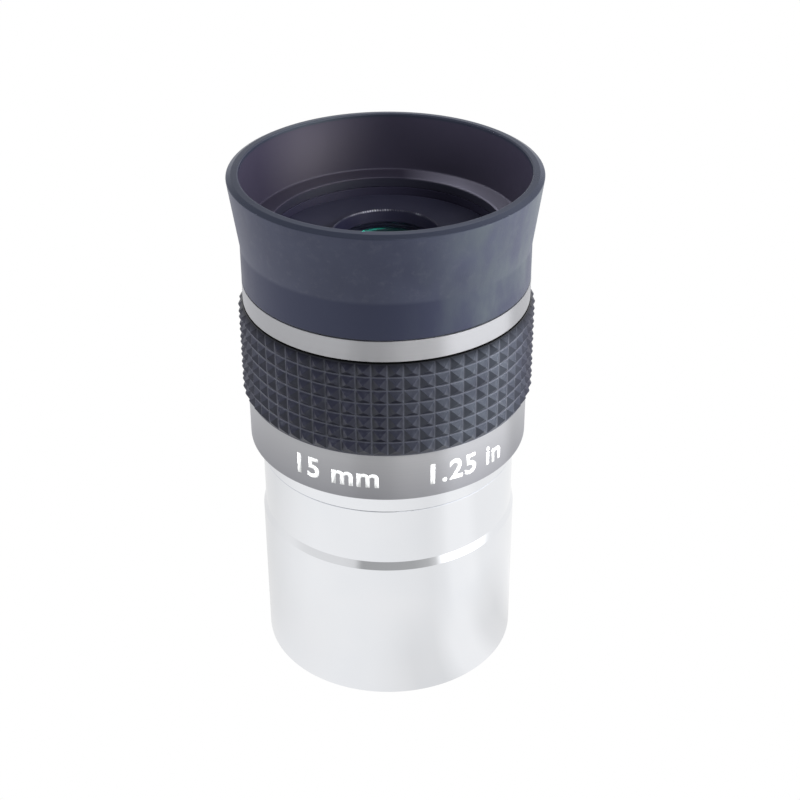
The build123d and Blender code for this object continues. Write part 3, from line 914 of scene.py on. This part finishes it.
def make_lens_cell(black):
    """Cell that holds both doublets, with the flange seen inside the eyecup."""
    outline = [
        (STOP_BORE, CELL_BOTTOM),
        (STOP_BORE, STOP_BORE_TOP),
        (RETAINER_BORE, STOP_BORE_TOP),
        (RETAINER_BORE, RETAINER_BORE_TOP),
        (FIELD_BORE, RETAINER_BORE_TOP),
        (FIELD_BORE, SPACER_SEAT),
        (EYE_LENS_BORE, SPACER_SEAT),
        (EYE_LENS_BORE, BEZEL_SEAT),
        (BEZEL_BORE, BEZEL_SEAT),
        (BEZEL_BORE, CELL_TOP),
        (CELL_FLANGE_RADIUS, CELL_TOP),
        (CELL_FLANGE_RADIUS, CELL_FLANGE_BOTTOM),
        (CELL_RADIUS, CELL_FLANGE_BOTTOM),
        (CELL_RADIUS, CELL_BOTTOM),
    ]
    cell = lathe("black_lens_cell", rounded_outline(outline, 0.06), black)
    return standing_for(cell, "housing", "black_metal", "lens_cell")


def make_bezel(black):
    """Raised ring round the eye lens, with fine grooves on its outside."""
    outline = [
        (EYE_LENS_BORE, BEZEL_BOTTOM),
        (EYE_LENS_BORE, BEZEL_LIP),
        (BEZEL_APERTURE, BEZEL_LIP),
        (BEZEL_MOUTH, BEZEL_TOP),
        (BEZEL_RADIUS - 0.02, BEZEL_TOP, 0.1),
    ]
    for groove in range(BEZEL_GROOVES):
        top = BEZEL_TOP - BEZEL_FIRST_GROOVE - groove * BEZEL_GROOVE_PITCH
        outline.append((BEZEL_RADIUS, top, 0.02))
        outline.append((BEZEL_RADIUS - BEZEL_GROOVE_DEPTH, top - BEZEL_GROOVE_WIDTH / 2, 0.02))
        outline.append((BEZEL_RADIUS, top - BEZEL_GROOVE_WIDTH, 0.02))
    outline.append((BEZEL_RADIUS, BEZEL_BOTTOM))
    bezel = lathe("black_eye_bezel", rounded_outline(outline, 0.05), black)
    return standing_for(bezel, "housing", "black_metal", "eye_bezel")


def surface_height(curve, vertex, out):
    """Height of a spherical surface at a distance from the axis. A positive curve bulges up."""
    size = abs(curve)
    drop = size - sqrt(max(0.0, size * size - out * out))
    return vertex - drop if curve > 0 else vertex + drop


def surface_points(radius, curve, vertex, steps=24):
    """Outline of a spherical surface from the axis out."""
    points = []
    for step in range(steps + 1):
        out = radius * step / steps
        points.append((out, surface_height(curve, vertex, out)))
    return points


def make_lens(node, glass, radius, upper, lower, cement_side, coating, cement, edge_paint):
    """One lens element, with a clear cemented face and a painted edge. Surfaces are (curve, vertex)."""
    top = surface_points(radius, *upper)
    bottom = surface_points(radius, *lower)
    obj = lathe(f"{node}_lens", bottom + top[::-1], coating, LENS_SEGMENTS)
    obj.data.materials.append(cement)
    obj.data.materials.append(edge_paint)
    cemented = upper if cement_side == "upper" else lower
    for polygon in obj.data.polygons:
        out = hypot(polygon.center.x, polygon.center.y) / MM
        face_height = surface_height(*cemented, out)
        if out > radius - FACE_TOLERANCE:
            polygon.material_index = 2
        elif abs(polygon.center.z / MM - face_height) < FACE_TOLERANCE:
            polygon.material_index = 1
    return standing_for(obj, "housing", glass, node)


def make_lenses(crown, flint, cement, edge_paint):
    """Two cemented doublets, the eye lens above and the field lens below."""
    shared = (cement, edge_paint)
    eye_top = (OUTER_CURVE, EYE_LENS_TOP)
    eye_over = (CEMENT_CURVE, EYE_LENS_CEMENT + CEMENT_GAP)
    eye_under = (CEMENT_CURVE, EYE_LENS_CEMENT)
    eye_bottom = (-INNER_CURVE, EYE_LENS_BOTTOM)
    field_top = (INNER_CURVE, FIELD_LENS_TOP)
    field_over = (-CEMENT_CURVE, FIELD_LENS_CEMENT)
    field_under = (-CEMENT_CURVE, FIELD_LENS_CEMENT - CEMENT_GAP)
    field_bottom = (-OUTER_CURVE, FIELD_LENS_BOTTOM)
    eye = EYE_LENS_RADIUS
    field = FIELD_LENS_RADIUS
    make_lens("eye_flint", "flint_glass", eye, eye_top, eye_over, "lower", flint, *shared)
    make_lens("eye_crown", "crown_glass", eye, eye_under, eye_bottom, "upper", crown, *shared)
    make_lens("field_crown", "crown_glass", field, field_top, field_over, "lower", crown, *shared)
    make_lens("field_flint", "flint_glass", field, field_under, field_bottom, "upper", flint, *shared)


def make_marking(paint, words, centre_angle):
    """Generic numerals on the lower band, bent round it."""
    curve = bpy.data.curves.new("marking", "FONT")
    curve.body = words
    curve.size = MARK_HEIGHT / CAPITAL_SHARE * MM
    curve.align_x = "CENTER"
    curve.space_character = MARK_SPACING
    curve.offset = MARK_WEIGHT * MM
    curve.resolution_u = 6
    text = bpy.data.objects.new("marking", curve)
    bpy.context.scene.collection.objects.link(text)
    bpy.context.view_layer.update()
    mesh = bpy.data.meshes.new_from_object(text)
    bpy.data.objects.remove(text)
    bm = bmesh.new()
    bm.from_mesh(mesh)
    width = max(v.co.x for v in bm.verts) - min(v.co.x for v in bm.verts)
    cuts = int(width / (MARK_CUT * MM)) + 1
    for cut in range(-cuts, cuts + 1):
        place = Vector((cut * MARK_CUT * MM, 0, 0))
        geometry = bm.verts[:] + bm.edges[:] + bm.faces[:]
        bmesh.ops.bisect_plane(bm, geom=geometry, plane_co=place, plane_no=(1, 0, 0))
    top = bmesh.ops.extrude_face_region(bm, geom=bm.faces[:])
    raised = [v for v in top["geom"] if isinstance(v, bmesh.types.BMVert)]
    for v in raised:
        v.co.z = MARK_LIFT * MM
    for v in bm.verts:
        angle = radians(centre_angle - 90) + v.co.x / (LOWER_BAND_RADIUS * MM)
        raised_by = v.co.z if v.co.z > 0 else -MARK_SINK * MM
        radius = LOWER_BAND_RADIUS * MM + raised_by
        v.co = Vector((radius * cos(angle), radius * sin(angle), MARK_BASE * MM + v.co.y))
    bmesh.ops.recalc_face_normals(bm, faces=bm.faces)
    bm.to_mesh(mesh)
    bm.free()
    name = "marking_" + "".join(c if c.isalnum() else "_" for c in words)
    obj = new_object(name, mesh, paint)
    return standing_for(obj, "housing", "satin_metal")


def finish_cad_node(obj, material):
    """Give a CAD node that stays in view a procedural material and clean shading."""
    obj.data.materials.clear()
    obj.data.materials.append(material)
    obj.data.shade_smooth()
    obj.data.set_sharp_from_angle(angle=radians(30))


# ---------------------------------------------------------------- studio


def round_the_room(nodes, links, direction, table, tint=(1, 1, 1)):
    """Brightness of the surroundings by azimuth, as a share of the peak."""
    share = value_range(nodes, links, azimuth_of(nodes, links, direction), -pi, pi, 0.0, 1.0)
    stops = []
    for azimuth, brightness in table:
        stops.append(((azimuth + 180) / 360, tuple(c * brightness / ROOM_PEAK for c in tint)))
    return ramp(nodes, links, share, stops)


def make_floor():
    """White table. Its reflections fade round the object, and no light reaches it under the barrel."""
    mesh = bpy.data.meshes.new("floor")
    half = TABLE_HALF_WIDTH
    corners = [(-half, -half, 0), (half, -half, 0), (half, half, 0), (-half, half, 0)]
    mesh.from_pydata(corners, [], [(0, 1, 2, 3)])
    floor = new_object("floor", mesh)
    floor.location.z = -TABLE_DROP
    material = bpy.data.materials.new("floor_white")
    material.use_nodes = True
    nodes, links = material.node_tree.nodes, material.node_tree.links
    nodes.remove(nodes["Principled BSDF"])
    place = object_place(nodes)
    distance = axis_distance(nodes, links, place)
    far_part = round_the_room(nodes, links, place, FAR_TABLE)
    near_part = round_the_room(nodes, links, place, NEAR_TABLE)
    edge_part = round_the_room(nodes, links, place, LOW_ROOM)
    near, far = TABLE_NEAR_TO_FAR
    away = value_range(nodes, links, distance, near * MM, far * MM, 0.0, 1.0)
    table_end, room_start = TABLE_TO_ROOM
    past_edge = value_range(nodes, links, distance, table_end * MM, room_start * MM, 0.0, 1.0)
    table = mix_colour(nodes, links, away, near_part, far_part)
    reflected = nodes.new("ShaderNodeEmission")
    links.new(mix_colour(nodes, links, past_edge, table, edge_part), reflected.inputs["Color"])
    reflected.inputs["Strength"].default_value = ROOM_PEAK
    glow = nodes.new("ShaderNodeEmission")
    open_floor = math_node(nodes, links, "GREATER_THAN", distance, TABLE_UNLIT_RADIUS * MM)
    links.new(open_floor, glow.inputs["Strength"])
    seen = nodes.new("ShaderNodeMixShader")
    links.new(nodes.new("ShaderNodeLightPath").outputs["Is Camera Ray"], seen.inputs["Fac"])
    links.new(reflected.outputs["Emission"], seen.inputs[1])
    links.new(glow.outputs["Emission"], seen.inputs[2])
    clear = nodes.new("ShaderNodeBsdfTransparent")
    below = nodes.new("ShaderNodeNewGeometry").outputs["Backfacing"]
    mix = nodes.new("ShaderNodeMixShader")
    links.new(below, mix.inputs["Fac"])
    links.new(seen.outputs["Shader"], mix.inputs[1])
    links.new(clear.outputs["BSDF"], mix.inputs[2])
    links.new(mix.outputs["Shader"], nodes["Material Output"].inputs["Surface"])
    floor.data.materials.append(material)


def make_world():
    """White to the camera. Other rays see a room with a dark front and a bright panel at the right."""
    world = bpy.data.worlds.new("studio")
    bpy.context.scene.world = world
    world.use_nodes = True
    nodes, links = world.node_tree.nodes, world.node_tree.links
    nodes.clear()
    output = nodes.new("ShaderNodeOutputWorld")
    direction = nodes.new("ShaderNodeTexCoord").outputs["Generated"]
    upward = separate(nodes, links, direction)["Z"]
    low_part = round_the_room(nodes, links, direction, LOW_ROOM, LOW_TINT)
    high_part = round_the_room(nodes, links, direction, HIGH_ROOM, HIGH_TINT)
    up = value_range(nodes, links, upward, *LOW_TO_HIGH, 0.0, 1.0)
    room = mix_colour(nodes, links, up, low_part, high_part)
    top_part = round_the_room(nodes, links, direction, TOP_ROOM, HIGH_TINT)
    top = value_range(nodes, links, upward, *HIGH_TO_TOP, 0.0, 1.0)
    room = mix_colour(nodes, links, top, room, top_part)
    overhead = value_range(nodes, links, upward, *TOP_TO_OVERHEAD, 0.0, 1.0)
    dim = tuple(c / ROOM_PEAK for c in OVERHEAD)
    around = nodes.new("ShaderNodeBackground")
    links.new(mix_colour(nodes, links, overhead, room, dim), around.inputs["Color"])
    around.inputs["Strength"].default_value = ROOM_PEAK
    white = nodes.new("ShaderNodeBackground")
    white.inputs["Color"].default_value = (1, 1, 1, 1)
    seen = nodes.new("ShaderNodeLightPath").outputs["Is Camera Ray"]
    mix = nodes.new("ShaderNodeMixShader")
    links.new(seen, mix.inputs["Fac"])
    links.new(around.outputs["Background"], mix.inputs[1])
    links.new(white.outputs["Background"], mix.inputs[2])
    links.new(mix.outputs["Shader"], output.inputs["Surface"])


def aim_light(light, place, target, mirrored):
    """Put a light at a place, facing its target. Only a mirrored light shows in reflections."""
    obj = bpy.data.objects.new(light.name, light)
    bpy.context.scene.collection.objects.link(obj)
    obj.location = place
    aim = Vector(target) - Vector(place)
    obj.rotation_euler = aim.to_track_quat("-Z", "Y").to_euler()
    obj.visible_camera = False
    obj.visible_glossy = mirrored


def make_softbox(name, place, target, size, power, mirrored=False):
    """Soft rectangular lamp."""
    light = bpy.data.lights.new(name, "AREA")
    light.shape = "RECTANGLE"
    light.size, light.size_y = size
    light.energy = power
    aim_light(light, place, target, mirrored)


def make_wall_spot():
    """Narrow warm lamp that lights a patch of the eyecup's inner wall."""
    light = bpy.data.lights.new("wall_spot", "SPOT")
    light.spot_size = radians(WALL_SPOT_ANGLE)
    light.spot_blend = 0.8
    light.energy = WALL_SPOT_POWER
    light.color = WALL_SPOT_COLOUR
    light.shadow_soft_size = WALL_SPOT_RADIUS
    aim_light(light, WALL_SPOT_PLACE, WALL_SPOT_TARGET, mirrored=False)


def make_camera():
    """Camera at its place, aimed at its target and rolled a little."""
    data = bpy.data.cameras.new("camera")
    data.lens = CAMERA_LENS
    data.sensor_width = 36
    data.clip_start = 0.01
    data.clip_end = 10
    camera = bpy.data.objects.new("camera", data)
    bpy.context.scene.collection.objects.link(camera)
    aim = (Vector(CAMERA_TARGET) - Vector(CAMERA_PLACE)).normalized()
    turn = aim.to_track_quat("-Z", "Y").to_matrix()
    roll = Matrix.Rotation(-radians(CAMERA_ROLL), 3, "Z")
    camera.matrix_world = Matrix.Translation(CAMERA_PLACE) @ (turn @ roll).to_4x4()
    bpy.context.scene.camera = camera


# ---------------------------------------------------------------- the scene

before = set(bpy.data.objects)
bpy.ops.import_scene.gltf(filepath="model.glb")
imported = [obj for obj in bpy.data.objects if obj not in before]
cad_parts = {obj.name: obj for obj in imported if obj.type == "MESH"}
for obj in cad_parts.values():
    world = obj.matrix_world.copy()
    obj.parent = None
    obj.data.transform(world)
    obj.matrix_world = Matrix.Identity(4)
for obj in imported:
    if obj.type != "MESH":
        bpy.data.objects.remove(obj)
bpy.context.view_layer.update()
bpy.context.scene.view_settings.view_transform = "Standard"

make_camera()
make_floor()
make_world()
for name, place, size, power in SOFTBOXES:
    make_softbox(name, place, SOFTBOX_TARGET, size, power)
make_softbox(
    "lens_strip", LENS_STRIP_PLACE, LENS_STRIP_TARGET, LENS_STRIP_SIZE, LENS_STRIP_POWER, mirrored=True
)
make_wall_spot()

chrome = chrome_material()
satin = satin_metal_material()
grip_rubber = grip_rubber_material()
cup_rubber = cup_rubber_material()
black = black_metal_material()
crown_glass = lens_material("crown_glass", (0.05, 1.0, 0.85))
flint_glass = lens_material("flint_glass", (0.35, 0.30, 0.60))
paint = marking_material()

make_barrel(chrome)
make_collar(chrome)
make_body(satin)
make_upper_ring(satin)
make_grip(grip_rubber)
make_eyecup(cup_rubber)
make_lens_cell(black)
make_bezel(bezel_material())
make_lenses(crown_glass, flint_glass, cement_material(), lens_edge_material())
for words, centre_angle in MARKINGS:
    make_marking(paint, words, centre_angle)
for node in ("lens_spacer", "lens_retainer", "field_stop"):
    finish_cad_node(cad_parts[node], black)
